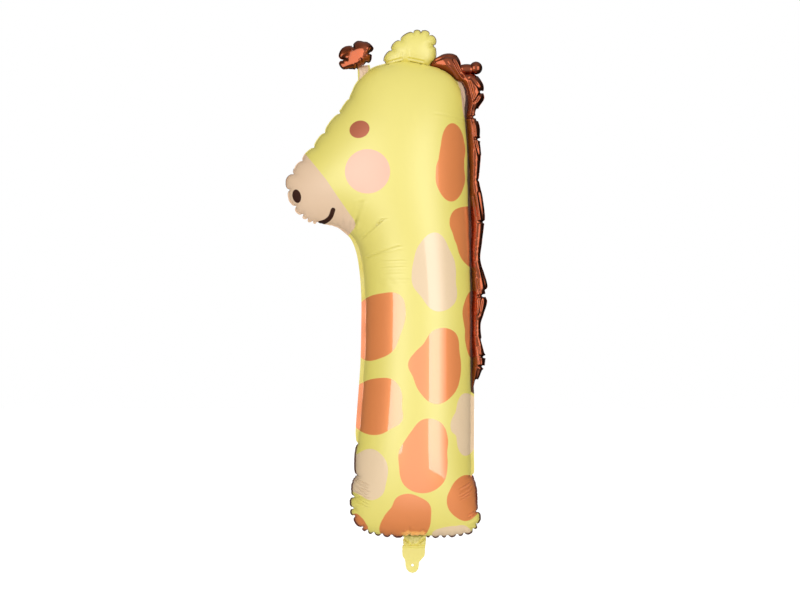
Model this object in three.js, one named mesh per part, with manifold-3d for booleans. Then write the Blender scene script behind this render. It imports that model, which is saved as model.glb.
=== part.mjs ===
// An inflated foil balloon in the shape of a figure 1 with a giraffe's head, ear, horn and mane.
// Two foil panels are welded to each other along one outline, so the balloon is one closed solid.
// Units are millimetres. +Z is up, the front panel faces -Y, and the origin is the ribbon hole in the tail.
import * as THREE from 'three';
import { mergeVertices } from 'three/addons/utils/BufferGeometryUtils.js';
import Module from 'manifold-3d';

// Weld flange and tail
const FLANGE_WIDTH = 7;
const FLANGE_THICK = 0.8;
const SMALL_FLANGE_WIDTH = 5;
const SMALL_FLANGE_THICK = 0.9;
const TAIL_THICK = 1.2;
const RIBBON_HOLE_RADIUS = 2.3;

// How full each chamber is against a taut membrane
const BODY_FULLNESS = 1;
const EAR_FULLNESS = 0.85;
const MANE_FULLNESS = 1.15;
const KNOB_FULLNESS = 1.1;
const STALK_FULLNESS = 0.45;
const NECK_FULLNESS = 0.25;

// Rows between two stations, and columns, of each chamber's grid
const BODY_CELLS = { rows: 2, columns: 14 };
const MANE_CELLS = { rows: 1, columns: 6 };
const EAR_CELLS = { rows: 2, columns: 8 };
const STALK_CELLS = { rows: 3, columns: 8 };
const NECK_CELLS = { rows: 4, columns: 12 };

// Horn knob: its outer edge as [degrees, radius] round a centre, which runs over two big lobes to the
// left, two to the right and a small one on each side of the stalk
const KNOB_CENTRE = [-99, 891];
const KNOB_RIM = [
  [11, 26], [26, 34], [48, 31], [58, 28], [82, 27], [112, 20], [128, 22], [155, 27], [180, 30],
  [194, 25], [206, 33], [222, 32], [233, 26], [253, 24], [270, 26], [288, 20], [316, 20], [341, 27],
];
const KNOB_FLANGE_WIDTH = 4;
const KNOB_CELLS = 12;
const STALK_FLANGE_WIDTH = 1;

// The round bead at the mane's upper corner, and the air passage from the head into the ear
const BEAD = { centre: [111, 870], radii: [11.5, 11, 11] };
const EAR_PASSAGE = { centre: [-13, 882], radii: [9, 8, 10] };
const ROUND_CELLS = { round: 14, rows: 9 };

// Weld line of the body chamber as matching left and right points [x, z], from the bottom up.
// The trunk is a straight tube. Above it the left side runs out under the chin to the muzzle and
// back up the forehead.
const BODY_LEFT = [
  [-88, 70], [-100, 88], [-102, 109], [-100, 132], [-96, 158], [-94, 202], [-92, 245], [-88, 298],
  [-84, 359], [-83, 420], [-83, 469], [-86, 513], [-92, 548], [-102, 573], [-116, 587], [-134, 597],
  [-157, 601], [-177, 605], [-194, 618], [-206, 634], [-212, 650], [-215, 671], [-206, 685],
  [-190, 708], [-172, 728], [-153, 753], [-136, 777], [-118, 798], [-102, 825],
];
const BODY_RIGHT = [
  [111, 72], [112, 90], [107, 111], [105, 133], [102, 160], [101, 202], [101, 245], [101, 298],
  [101, 356], [101, 408], [101, 450], [101, 485], [100, 513], [100, 538], [100, 559], [99, 578],
  [99, 597], [98, 616], [97, 636], [97, 655], [96, 674], [96, 695], [96, 716], [95, 739], [95, 762],
  [94, 783], [93, 800], [90, 818], [83, 835],
];
const BODY_CROWN = [
  [-102, 825], [-94, 842], [-81, 859], [-65, 870], [-42, 876], [-13, 881], [19, 875], [46, 868],
  [64, 858], [75, 847], [83, 835],
];
const BODY_BOTTOM = [
  [-88, 70], [-74, 62], [-48, 57], [-17, 55], [24, 55], [66, 56], [97, 61], [111, 72],
];
const CROWN_REACH = 0.3;
const BOTTOM_REACH = 0.12;

// Weld lines of the mane, ear and stalk in the same way, each from its root to its tip
const MANE_INNER = [
  [31, 872], [43, 868], [57, 862], [70, 854], [81, 843], [89, 832], [94, 818], [96, 807], [97, 797],
  [97, 781], [98, 765], [99, 744], [99, 718], [99, 674], [100, 639], [101, 604], [102, 569],
  [102, 534], [103, 508], [103, 487], [104, 473], [104, 461], [103, 440], [103, 420], [103, 394],
  [103, 373], [104, 352], [103, 333], [103, 315], [102, 303],
];
const MANE_OUTER = [
  [32, 877], [43, 884], [59, 892], [74, 890], [85, 881], [102, 868], [116, 849], [120, 833],
  [119, 818], [108, 784], [115, 765], [115, 744], [116, 718], [114, 674], [119, 639], [123, 604],
  [119, 569], [115, 538], [122, 510], [128, 489], [122, 473], [128, 462], [121, 441], [116, 422],
  [118, 394], [123, 373], [123, 352], [116, 335], [109, 317], [104, 305],
];
const EAR_LEFT = [[-46, 880], [-44, 891], [-35, 902], [-24, 914], [-11, 923], [1, 930], [10, 931]];
const EAR_RIGHT = [[27, 880], [35, 891], [37, 902], [36, 910], [35, 919], [28, 927], [18, 931]];
const STALK_LEFT = [[-94, 835], [-94, 853], [-95, 872]];
const STALK_RIGHT = [[-73, 842], [-74, 856], [-76, 874]];

// Tail: a gathered neck, a flat tab and a narrow end with the ribbon hole
const NECK_LEFT = [[-16, 32], [-16, 58]];
const NECK_RIGHT = [[23, 32], [23, 58]];
const NECK_THICK = 1.8;
const NECK_FLANGE_WIDTH = 0.5;
const TAB = { left: -18, right: 22, top: 33, bottom: 16 };
const TAIL_END = { left: -12.5, right: 11, shoulder: 6, round: 0, bottom: -13.5 };

// Rounds of easing that settle a chamber's height, and how far past the mean each one goes
const SETTLE_ROUNDS = 600;
const OVER_RELAX = 1.9;

const wasm = await Module();
wasm.setup();

// The closed mesh of a BufferGeometry as a solid for joining.
function solidOf(geometry) {
  const bare = geometry.clone();
  bare.deleteAttribute('normal');
  bare.deleteAttribute('uv');
  const merged = mergeVertices(bare, 1e-4);
  return new wasm.Manifold(new wasm.Mesh({
    numProp: 3,
    vertProperties: merged.attributes.position.array,
    triVerts: new Uint32Array(merged.index.array),
  }));
}

function curveOf(points) {
  return new THREE.SplineCurve(points.map(([x, z]) => new THREE.Vector2(x, z)));
}

// The share across a row of a column, crowded towards the welds, where the foil turns fastest
function shareAcross(column, columns) {
  return (1 - Math.cos(Math.PI * column / columns)) / 2;
}

// A grid of flat points between two lines of matching stations. Columns run from left to right.
function gridBetween(left, right, cells) {
  const { columns } = cells;
  const leftCurve = curveOf(left);
  const rightCurve = curveOf(right);
  const rows = (left.length - 1) * cells.rows;
  const grid = [];
  for (let j = 0; j <= rows; j++) {
    const a = leftCurve.getPoint(j / rows);
    const b = rightCurve.getPoint(j / rows);
    const row = [];
    for (let i = 0; i <= columns; i++) {
      row.push(a.clone().lerp(b, shareAcross(i, columns)));
    }
    grid.push(row);
  }
  return grid;
}

// Bends the rows near one end of a grid so that the last row follows an end curve.
function bendEnd(grid, curvePoints, atTop, reach) {
  const curve = curveOf(curvePoints);
  const rows = grid.length - 1;
  const edge = grid[atTop ? rows : 0].map((p) => p.clone());
  const columns = edge.length - 1;
  const shift = edge.map((p, i) => curve.getPointAt(shareAcross(i, columns)).sub(p));
  grid.forEach((row, j) => {
    const away = (atTop ? rows - j : j) / (rows * reach);
    const share = Math.max(0, 1 - away) ** 2;
    row.forEach((p, i) => {
      p.addScaledVector(shift[i], share);
    });
  });
}

// The height that air gives each point of a flat grid welded round its border: the square root of
// the sag of an evenly pressed membrane. A long strip comes out round, and a disc flatter.
function inflate(grid, fullness) {
  const rows = grid.length - 1;
  const columns = grid[0].length - 1;
  const width = columns + 1;
  const at = (j, i) => j * width + i;
  const flat = grid.flat();
  const links = flat.map(() => new Map());
  const area = flat.map(() => 0);
  const addTriangle = (...corners) => {
    for (let k = 0; k < 3; k++) {
      const [a, b, c] = [0, 1, 2].map((n) => corners[(k + n) % 3]);
      const toA = flat[a].clone().sub(flat[c]);
      const toB = flat[b].clone().sub(flat[c]);
      const twiceArea = Math.abs(toA.cross(toB));
      const weight = toA.dot(toB) / (2 * twiceArea);
      links[a].set(b, (links[a].get(b) ?? 0) + weight);
      links[b].set(a, (links[b].get(a) ?? 0) + weight);
      area[c] += twiceArea / 6;
    }
  };
  for (let j = 0; j < rows; j++) {
    for (let i = 0; i < columns; i++) {
      addTriangle(at(j, i), at(j, i + 1), at(j + 1, i + 1));
      addTriangle(at(j, i), at(j + 1, i + 1), at(j + 1, i));
    }
  }
  const sag = flat.map(() => 0);
  for (let round = 0; round < SETTLE_ROUNDS; round++) {
    for (let j = 1; j < rows; j++) {
      for (let i = 1; i < columns; i++) {
        const n = at(j, i);
        let pull = area[n];
        let total = 0;
        for (const [other, weight] of links[n]) {
          pull += weight * sag[other];
          total += weight;
        }
        sag[n] += OVER_RELAX * (pull / total - sag[n]);
      }
    }
  }
  return sag.map((s) => fullness * Math.sqrt(2 * Math.max(0, s)));
}

// Indices of a grid's border points, anticlockwise as seen from the front.
function borderOf(rows, columns) {
  const width = columns + 1;
  const loop = [];
  for (let i = 0; i < columns; i++) loop.push(i);
  for (let j = 0; j < rows; j++) loop.push(j * width + columns);
  for (let i = columns; i > 0; i--) loop.push(rows * width + i);
  for (let j = rows; j > 0; j--) loop.push(j * width);
  return loop;
}

// A closed chamber: the inflated grid in front and behind, with a flat weld flange round it.
function chamber(grid, fullness, flangeWidth, thickness) {
  const rows = grid.length - 1;
  const columns = grid[0].length - 1;
  const width = columns + 1;
  const flat = grid.flat();
  const heights = inflate(grid, fullness);
  const loop = borderOf(rows, columns);
  const rim = loop.map((n, k) => {
    const before = flat[loop[(k + loop.length - 1) % loop.length]];
    const after = flat[loop[(k + 1) % loop.length]];
    const along = after.clone().sub(before).normalize();
    return flat[n].clone().add(new THREE.Vector2(along.y, -along.x).multiplyScalar(flangeWidth));
  });
  const positions = [];
  const index = [];
  const half = thickness / 2;
  for (const side of [-1, 1]) {
    flat.forEach((p, n) => positions.push(p.x, side * (half + heights[n]), p.y));
    rim.forEach((p) => positions.push(p.x, side * half, p.y));
  }
  const sideCount = flat.length + rim.length;
  const addFace = (a, b, c) => {
    index.push(a, b, c);
    index.push(a + sideCount, c + sideCount, b + sideCount);
  };
  for (let j = 0; j < rows; j++) {
    for (let i = 0; i < columns; i++) {
      const n = j * width + i;
      addFace(n, n + 1, n + width + 1);
      addFace(n, n + width + 1, n + width);
    }
  }
  loop.forEach((n, k) => {
    const next = (k + 1) % loop.length;
    const a = flat.length + k;
    const b = flat.length + next;
    addFace(n, a, b);
    addFace(n, b, loop[next]);
    index.push(a, a + sideCount, b + sideCount);
    index.push(a, b + sideCount, b);
  });
  const geometry = new THREE.BufferGeometry();
  geometry.setAttribute('position', new THREE.Float32BufferAttribute(positions, 3));
  geometry.setIndex(index);
  return solidOf(geometry);
}

// Neck and head: the big chamber
function body() {
  const grid = gridBetween(BODY_LEFT, BODY_RIGHT, BODY_CELLS);
  bendEnd(grid, BODY_CROWN, true, CROWN_REACH);
  bendEnd(grid, BODY_BOTTOM, false, BOTTOM_REACH);
  return chamber(grid, BODY_FULLNESS, FLANGE_WIDTH, FLANGE_THICK);
}

// The mane runs down the back, so each of its rows is turned round to keep the faces outwards
function mane() {
  const grid = gridBetween(MANE_INNER, MANE_OUTER, MANE_CELLS);
  const facing = grid.map((row) => row.reverse());
  return chamber(facing, MANE_FULLNESS, SMALL_FLANGE_WIDTH, SMALL_FLANGE_THICK);
}

function ear() {
  const grid = gridBetween(EAR_LEFT, EAR_RIGHT, EAR_CELLS);
  return chamber(grid, EAR_FULLNESS, SMALL_FLANGE_WIDTH, SMALL_FLANGE_THICK);
}

function stalk() {
  const grid = gridBetween(STALK_LEFT, STALK_RIGHT, STALK_CELLS);
  return chamber(grid, STALK_FULLNESS, STALK_FLANGE_WIDTH, SMALL_FLANGE_THICK);
}

// The radius of the knob's edge at an angle, from the points of its rim by smooth steps
function knobRadius(angle) {
  const degrees = (THREE.MathUtils.radToDeg(angle) + 360 - KNOB_RIM[0][0]) % 360;
  const turns = [...KNOB_RIM, [KNOB_RIM[0][0] + 360, KNOB_RIM[0][1]]];
  const n = turns.findIndex(([end]) => end - KNOB_RIM[0][0] > degrees);
  const [from, to] = [turns[n - 1], turns[n]];
  const share = (degrees + KNOB_RIM[0][0] - from[0]) / (to[0] - from[0]);
  return THREE.MathUtils.lerp(from[1], to[1], THREE.MathUtils.smoothstep(share, 0, 1));
}

// A square grid rounded to a disc, and the disc stretched to the lobed edge
function knob() {
  const grid = [];
  for (let j = 0; j <= KNOB_CELLS; j++) {
    const v = 2 * j / KNOB_CELLS - 1;
    const row = [];
    for (let i = 0; i <= KNOB_CELLS; i++) {
      const u = 2 * i / KNOB_CELLS - 1;
      const disc = new THREE.Vector2(u * Math.sqrt(1 - v * v / 2), v * Math.sqrt(1 - u * u / 2));
      const reach = knobRadius(disc.angle()) - KNOB_FLANGE_WIDTH;
      row.push(new THREE.Vector2(...KNOB_CENTRE).addScaledVector(disc, reach));
    }
    grid.push(row);
  }
  return chamber(grid, KNOB_FULLNESS, KNOB_FLANGE_WIDTH, SMALL_FLANGE_THICK);
}

function ellipsoid({ centre, radii }) {
  const geometry = new THREE.SphereGeometry(1, ROUND_CELLS.round, ROUND_CELLS.rows);
  geometry.scale(...radii);
  geometry.translate(centre[0], 0, centre[1]);
  return solidOf(geometry);
}

// A flat outline in X and Z, given its thickness in Y
function plate(shape, thickness) {
  const geometry = new THREE.ExtrudeGeometry(shape, {
    depth: thickness, bevelEnabled: false, curveSegments: 12,
  });
  geometry.rotateX(Math.PI / 2);
  geometry.translate(0, thickness / 2, 0);
  return solidOf(geometry);
}

// The filling tail: a tab whose lower end narrows round the ribbon hole
function tail() {
  const middle = (TAIL_END.left + TAIL_END.right) / 2;
  const shape = new THREE.Shape();
  shape.moveTo(TAB.left, TAB.top);
  shape.lineTo(TAB.left, TAB.bottom);
  shape.lineTo(TAIL_END.left, TAIL_END.shoulder);
  shape.lineTo(TAIL_END.left, TAIL_END.round);
  shape.quadraticCurveTo(TAIL_END.left, TAIL_END.bottom, middle, TAIL_END.bottom);
  shape.quadraticCurveTo(TAIL_END.right, TAIL_END.bottom, TAIL_END.right, TAIL_END.round);
  shape.lineTo(TAIL_END.right, TAIL_END.shoulder);
  shape.lineTo(TAB.right, TAB.bottom);
  shape.lineTo(TAB.right, TAB.top);
  shape.closePath();
  const hole = new THREE.Path();
  hole.absarc(0, 0, RIBBON_HOLE_RADIUS, 0, 2 * Math.PI);
  shape.holes.push(hole);
  return plate(shape, TAIL_THICK);
}

// The gathered neck between the body and the tab
function neck() {
  const grid = gridBetween(NECK_LEFT, NECK_RIGHT, NECK_CELLS);
  return chamber(grid, NECK_FULLNESS, NECK_FLANGE_WIDTH, NECK_THICK);
}

// All the chambers and the tail joined to one solid
function envelope() {
  const parts = [mane(), ear(), stalk(), knob(), ellipsoid(BEAD), ellipsoid(EAR_PASSAGE), tail(), neck()];
  const joined = parts.reduce((whole, part) => whole.add(part), body());
  const { vertProperties, triVerts } = joined.getMesh();
  const geometry = new THREE.BufferGeometry();
  geometry.setAttribute('position', new THREE.BufferAttribute(vertProperties, 3));
  geometry.setIndex(new THREE.BufferAttribute(triVerts, 1));
  geometry.computeVertexNormals();
  return geometry;
}

const foil = new THREE.MeshStandardMaterial({ color: 0xf0e696, roughness: 0.35, metalness: 0.3 });
const balloon = new THREE.Mesh(envelope(), foil);
balloon.name = 'envelope';

const group = new THREE.Group();
group.name = 'figure_balloon';
group.add(balloon);

export default group;
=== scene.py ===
"""A foil balloon in the shape of a figure 1 with a giraffe's head, made as an add-on's operators."""

import math

import bpy
import numpy as np
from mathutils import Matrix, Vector


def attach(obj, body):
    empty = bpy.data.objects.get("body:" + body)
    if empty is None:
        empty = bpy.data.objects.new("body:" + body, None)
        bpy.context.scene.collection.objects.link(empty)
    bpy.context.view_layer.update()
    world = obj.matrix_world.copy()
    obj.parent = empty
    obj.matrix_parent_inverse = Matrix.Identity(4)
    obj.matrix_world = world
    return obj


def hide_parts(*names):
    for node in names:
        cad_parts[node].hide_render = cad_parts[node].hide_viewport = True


bl_info = {
    "name": "Figure balloon",
    "version": (1, 0, 0),
    "blender": (4, 5, 0),
    "location": "View3D > Sidebar > Balloon",
    "description": "Makes the foil panels, mane, horn, ear and filling tail of a figure balloon",
    "category": "Add Mesh",
}

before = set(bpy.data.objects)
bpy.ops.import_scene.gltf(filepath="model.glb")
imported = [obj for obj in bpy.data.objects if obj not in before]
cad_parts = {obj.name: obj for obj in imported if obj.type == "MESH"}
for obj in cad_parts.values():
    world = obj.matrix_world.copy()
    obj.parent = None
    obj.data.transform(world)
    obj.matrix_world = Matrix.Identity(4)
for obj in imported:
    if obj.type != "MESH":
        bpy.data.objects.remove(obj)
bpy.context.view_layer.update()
ENVELOPE = "envelope"
MM = 0.001

# Lengths from here to the prints are millimetres in the frame's X and Z, whose origin is the ribbon hole.
# Weld line of the body chamber as matching left and right points, from the bottom up.
BODY_LEFT = (
    (-88, 70), (-100, 88), (-102, 109), (-100, 132), (-96, 158), (-94, 202), (-92, 245), (-88, 298),
    (-84, 359), (-83, 420), (-83, 469), (-86, 513), (-92, 548), (-102, 573), (-116, 587), (-134, 597),
    (-157, 601), (-177, 605), (-194, 618), (-206, 634), (-212, 650), (-215, 671), (-206, 685),
    (-190, 708), (-172, 728), (-153, 753), (-136, 777), (-118, 798), (-102, 825),
)
BODY_RIGHT = (
    (111, 72), (112, 90), (107, 111), (105, 133), (102, 160), (101, 202), (101, 245), (101, 298),
    (101, 356), (101, 408), (101, 450), (101, 485), (100, 513), (100, 538), (100, 559), (99, 578),
    (99, 597), (98, 616), (97, 636), (97, 655), (96, 674), (96, 695), (96, 716), (95, 739), (93, 762),
    (91.5, 783), (91, 800), (89, 818), (83, 835),
)
BODY_CROWN = (
    (-102, 825), (-94, 842), (-81, 859), (-65, 870), (-42, 876), (-13, 881), (19, 875), (46, 868),
    (64, 858), (75, 847), (83, 835),
)
BODY_BOTTOM = (
    (-88, 70), (-74, 62), (-48, 57), (-17, 55), (24, 55), (66, 56), (97, 61), (111, 72),
)
CROWN_REACH = 0.3
BOTTOM_REACH = 0.12

# Weld lines of the mane, ear and stalk in the same way, each from its root to its tip.
MANE_INNER = (
    (31, 872), (43, 869), (57, 864), (68, 857), (77, 849), (85, 845), (91, 838), (93, 831), (94, 825),
    (95, 819), (95, 814), (95, 808), (95, 798), (93, 784), (94, 767), (96, 744), (98, 718), (99, 674),
    (100, 639), (101, 604), (102, 569), (102, 534), (103, 508), (103, 487), (104, 473), (104, 461),
    (103, 440), (103, 420), (103, 394), (103, 373), (104, 352), (103, 333), (103, 315), (102, 303),
)
MANE_OUTER = (
    (32, 877), (41, 886), (56, 893), (72, 893), (82, 883), (88, 864), (98, 861), (109, 857), (119, 843),
    (121, 834), (117, 829), (122, 818), (113, 802), (110, 786), (115, 765), (115, 744), (116, 718),
    (114, 674), (119, 639), (123, 604), (119, 569), (115, 538), (122, 510), (128, 489), (122, 473),
    (128, 462), (121, 441), (116, 422), (118, 394), (123, 373), (123, 352), (116, 335), (109, 317),
    (104, 305),
)
EAR_LEFT = ((-46, 873), (-45, 889), (-35, 902), (-24, 914), (-11, 923), (1, 930), (10, 931))
EAR_RIGHT = ((28, 871), (36, 889), (37, 902), (36, 910), (35, 919), (28, 927), (18, 931))
STALK_LEFT = ((-94, 835), (-94, 853), (-95, 872))
STALK_RIGHT = ((-73, 842), (-74, 856), (-76, 874))

# The horn knob's outer edge as (degrees, radius) round its centre.
KNOB_CENTRE = (-99, 891)
KNOB_RIM = (
    (11, 26), (26, 34), (48, 31), (58, 28), (82, 27), (112, 20), (128, 22), (155, 27), (180, 30),
    (194, 25), (206, 33), (222, 32), (233, 26), (253, 24), (270, 26), (288, 20), (316, 20), (341, 27),
)
KNOB_FLANGE = 4
# The knob's height: its sides are steepened by a power, and it leans by a share over its radius.
KNOB_STEEPNESS = 1.5
KNOB_LEAN = 0.7
KNOB_RADIUS = 26

# The bead at the mane's upper corner and the stem that it sits on, as X and Z of the centre.
BEAD_CENTRE = (111, 870)
BEAD_RADII = (11.3, 11, 11.3)
STEM_CENTRE = (95, 868)
STEM_RADII = (18, 9, 9)

# The filling tail: weld line of its gathered neck, and outline of its tab from the lowest point.
NECK_LEFT = ((-17.5, 30), (-15.5, 38), (-15.5, 46), (-16.5, 53))
NECK_RIGHT = ((21.5, 30), (22.5, 38), (22.5, 46), (24, 53))
TAB_OUTLINE = (
    (0, -13.5), (6.5, -11.5), (10.2, -6), (11, 0), (11.2, 5), (16, 10.5), (21, 16), (22, 24),
    (21.6, 33), (2, 33.5), (-17.6, 33), (-18, 24), (-17.4, 16), (-13.6, 10.5), (-12.3, 5),
    (-12.2, 0), (-10.5, -6.5), (-6, -11.8), (0, -13.5),
)
# The tab waves in and out fully up to the first height, and not at all from the second.
TAB_WAVY = (10, 30)
TAB_WAVE = 0.5
TAB_WAVE_WIDTH = 9

# The picture, the pixel where the ribbon hole shows, millimetres for each pixel, and the camera's lens.
PICTURE_WIDTH = 800
PICTURE_MIDDLE = (400, 300)
HOLE_PIXEL = (412.5, 565.2)
PIXEL = 1.75
LENS = 85
SENSOR = 36
EYE_DISTANCE = PICTURE_WIDTH * PIXEL * LENS / SENSOR


def place(px, py):
    """The point of the weld's plane, in millimetres, that shows at a pixel of the picture."""
    return (px - HOLE_PIXEL[0]) * PIXEL, (HOLE_PIXEL[1] - py) * PIXEL


def seen_flat(points):
    """Where points show from the front on the weld's plane: their X and Z, spread from the picture's
    middle as far as their height brings them nearer the eye."""
    middle = np.array(place(*PICTURE_MIDDLE))
    spread = EYE_DISTANCE / (EYE_DISTANCE - np.abs(points[:, 1]))
    flat = middle + (points[:, (0, 2)] - middle) * spread[:, None]
    return flat[:, 0], flat[:, 1]


# From here on, points (px, py) are pixels of the front picture.
# Where the welded edge is nipped in.
BODY_NIPS = (
    (347, 97), (337, 111.5), (324, 132), (313, 146.5), (302, 161), (291, 172), (289, 190), (295, 207),
    (300, 217), (306, 221), (311.5, 224), (317, 225), (356, 444), (354.5, 475), (353.5, 496.5),
    (352, 508), (354, 516), (361, 529), (367, 532), (373, 534), (381, 536), (391, 537.5), (403.5, 538),
    (409, 537), (415, 538), (421, 538), (426, 537.5), (471.5, 475), (477, 511), (480.5, 525),
    (475, 531.5), (465, 535), (457, 537), (448, 537), (440, 538), (432, 538),
)
EAR_NIPS = (
    (390.2, 49.4), (400.5, 40.2), (413.1, 32.4), (421, 33), (430.6, 34.5), (437, 45.4),
)
KNOB_NIPS = (
    (351.8, 45.5), (370.8, 53.2), (366.6, 63.8), (356, 71), (342.2, 59.6),
)
MANE_NIPS = (
    (466, 77.5), (481, 92.5), (476, 117), (481, 140), (483.5, 222), (486, 295), (485.5, 357), (486, 367),
    (463, 82), (479, 180),
)

# Tables by height, for the body's left and right edges, that part at this X.
MIDDLE_X = 5.0
# How strongly the edge is gathered.
LEFT_GATHER = (
    (44, 0.9), (60, 1), (148, 1), (165, 0.6), (212, 0.6), (232, 0), (583, 0), (596, 0.9), (640, 0.9),
    (665, 0.6), (735, 0.5), (800, 0.4), (838, 0.1), (885, 0.1),
)
RIGHT_GATHER = ((44, 0.9), (60, 1), (150, 1), (160, 0.1), (170, 0), (830, 0), (850, 0.1), (885, 0.1))
# Width of the flange, when its size is the usual one, and how far the weld swells past the smooth line.
BODY_FLANGE = 6.8
LEFT_FLANGE = (
    (44, 3), (150, 3), (165, 3.2), (215, 3.4), (240, 6.5), (560, 6.5), (592, 3), (640, 2.4),
    (700, 1.8), (835, 2.0), (885, 2.2),
)
RIGHT_FLANGE = (
    (44, 3), (150, 3.2), (162, 5.5), (300, 5.5), (312, 6), (835, 9.5), (850, 9), (862, 4), (885, 2.2),
)
LEFT_SWELL = (
    (44, 4), (150, 4.2), (165, 3.8), (215, 3.2), (240, 0.4), (560, 0.3), (592, 3.4), (640, 4.2),
    (700, 4.4), (835, 4.2), (850, 2.5), (868, 0.8), (885, 0.5),
)
RIGHT_SWELL = ((44, 4), (150, 4), (162, 1.2), (300, 1.2), (312, 0), (835, 0), (860, 1), (885, 0.5))
# How much of the rim is darkened by painted shade, and how far beyond the weld that painted shade
# starts where its share is full and where it is none, so that the yellow ink stays.
LEFT_RIM_SHADE = (
    (44, 1), (150, 1), (212, 1), (222, 0), (583, 0), (592, 0.55), (640, 0.55), (655, 0.9), (690, 0.9),
    (700, 0.15), (830, 0.1), (885, 0.1),
)
RIGHT_RIM_SHADE = ((44, 1), (155, 1), (163, 0), (295, 0), (305, 1), (800, 1), (830, 0.3), (885, 0.1))
SHADE_START_IF_FULL = 0.1
SHADE_START_IF_NONE = 9
# Heights between which the body's right edge lies against the mane, and is darkened by painted shade all
# along.
AGAINST_MANE = (303, 790)
# Where the body's lower edge runs into the tail's neck: top, middle and half width, how gathered it is,
# and by X how far beyond the weld the painted shade starts; below nought it reaches inside the weld onto the
# chamber.
NECK_TOP = 62
NECK_MIDDLE = 3.5
NECK_HALF_WIDTH = 24
NECK_GATHER = 0.7
NECK_RIM_SHADE = ((-20, 0.1), (-10, -1.5), (4, -3), (17, -1.5), (27, 0.1))

# The ear's edge is gathered above one height and belongs to its root below the other. The root's painted
# shade reaches up onto the ear by a table over X, except at the air passage; elsewhere the rim's painted
# shade starts just beyond the weld.
EAR_GATHERED_FROM = 883
EAR_ROOT_TO = 873.5
EAR_ROOT_SHADE = ((-46, 3), (-13, 9.6), (28, 3))
EAR_RIM_SHADE_START = 0.7
PASSAGE_MIDDLE = -13
PASSAGE_HALF_WIDTH = 7

# How far the mane's weld swells past the smooth line: right of an X, above a height, and elsewhere.
MANE_OUTSIDE_X = 112
MANE_TOP_FROM = 835
MANE_SWELLS = (3.0, 1.0, -1.0)

# How closely the body's rows follow each other at each height.
BODY_DENSITY = ((70, 1), (160, 1), (190, 0.25), (480, 0.25), (510, 0.8), (700, 0.8), (760, 0.6), (840, 0.8))

# The puckers at the nips: how deep they are, how far they reach inwards, how wide they are along the
# edge, and how far the lobes between them bulge.
BODY_PUCKERS = {"depth_mm": 3.4, "reach_mm": 8.0, "sharp_mm": 2.2, "bulge_mm": 0.8}
BODY_FINE_PUCKERS = {"depth_mm": 0.7, "reach_mm": 3.0, "sharp_mm": 1.4, "bulge_mm": 0.2}
EAR_PUCKERS = {"depth_mm": 3.0, "reach_mm": 7.0, "sharp_mm": 2.0, "bulge_mm": 0.8}
KNOB_PUCKERS = {"depth_mm": 2.2, "reach_mm": 6.0, "sharp_mm": 2.2, "bulge_mm": 0.8}
MANE_PUCKERS = {"depth_mm": 2.2, "reach_mm": 4.0, "sharp_mm": 1.8, "bulge_mm": 0.4}

# Flanges that overlap differ in thickness by these, so that no two surfaces lie in one plane.
EAR_THINNER = 0.06
STALK_THINNER = 0.1
MANE_THICKER = 0.1
NECK_THICKER = 0.5

# Where each piece's uneven steps and ripples start.
SEEDS = {"body": 11, "ear": 5, "horn": 8, "mane": 21, "tail": 3}

# Creases as (px, py, px, py, depth, width), the last two in millimetres.
BODY_CREASES = (
    (362.6, 203.4, 354, 230.2, 3.0, 2.6), (385.3, 221, 362.6, 239.5, 3.2, 1.1),
    (400.8, 247.7, 366.8, 258, 2.6, 1.1), (342.5, 205, 343, 226, 1.4, 2.4),
    (378, 262.8, 405.8, 261.8, 0.8, 1.0), (380, 269, 406, 268, 0.7, 1.0),
    (376, 280.6, 411, 280.2, 1.1, 1.0), (378, 283.4, 411, 283.2, 0.9, 1.0),
    (382, 275, 404, 274.4, 0.7, 1.0), (409, 523, 409.5, 539, 2.8, 2.4), (422, 527, 419, 539, 2.0, 2.2),
    (361, 84, 367, 87.5, 2.6, 1.3), (337, 113, 343, 113, 2.4, 1.3), (387, 61, 390, 69.4, 2.2, 1.4),
    (422.5, 61, 419.3, 72.5, 2.2, 1.4), (437, 64, 442, 71, 1.4, 1.4), (368, 66, 372, 72, 1.4, 1.4),
    (410, 509, 410, 515, 0.6, 1.2), (433, 118, 465, 121, 0.6, 1.6), (446, 127, 464, 124, 0.4, 1.6),
)
# Fans of fine wrinkles: (px, py of the outer end, px, py of the inner end, how many, pixels apart).
WRINKLE_FANS = (
    (355, 477, 369, 482, 8, 3.1), (470.5, 481, 459, 486, 5, 2.6), (475.5, 510, 468, 513, 4, 2.6),
)
EAR_CREASES = (
    (386, 63, 402, 59.5, 1.5, 1.3), (408, 59.5, 424, 62.5, 1.5, 1.3), (402, 52, 401, 61, 0.9, 1.8),
    (408, 51, 409, 61, 0.9, 1.8), (437, 46, 430, 49, 0.8, 1.6), (413, 32, 414, 37, 0.7, 1.5),
)
STALK_CREASES = ((363.5, 70, 364.5, 75, 0.8, 1.2),)
KNOB_CREASES = (
    (351.8, 45.5, 354, 50, 1.2, 2.0), (371.5, 53.2, 365, 55, 1.4, 1.8), (341, 59.6, 347, 60.2, 1.4, 2.2),
    (356.5, 71, 356, 65, 1.2, 1.5), (362.5, 68, 361, 59, 1.3, 1.4), (367, 64, 365, 58, 1.0, 1.5),
)
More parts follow.
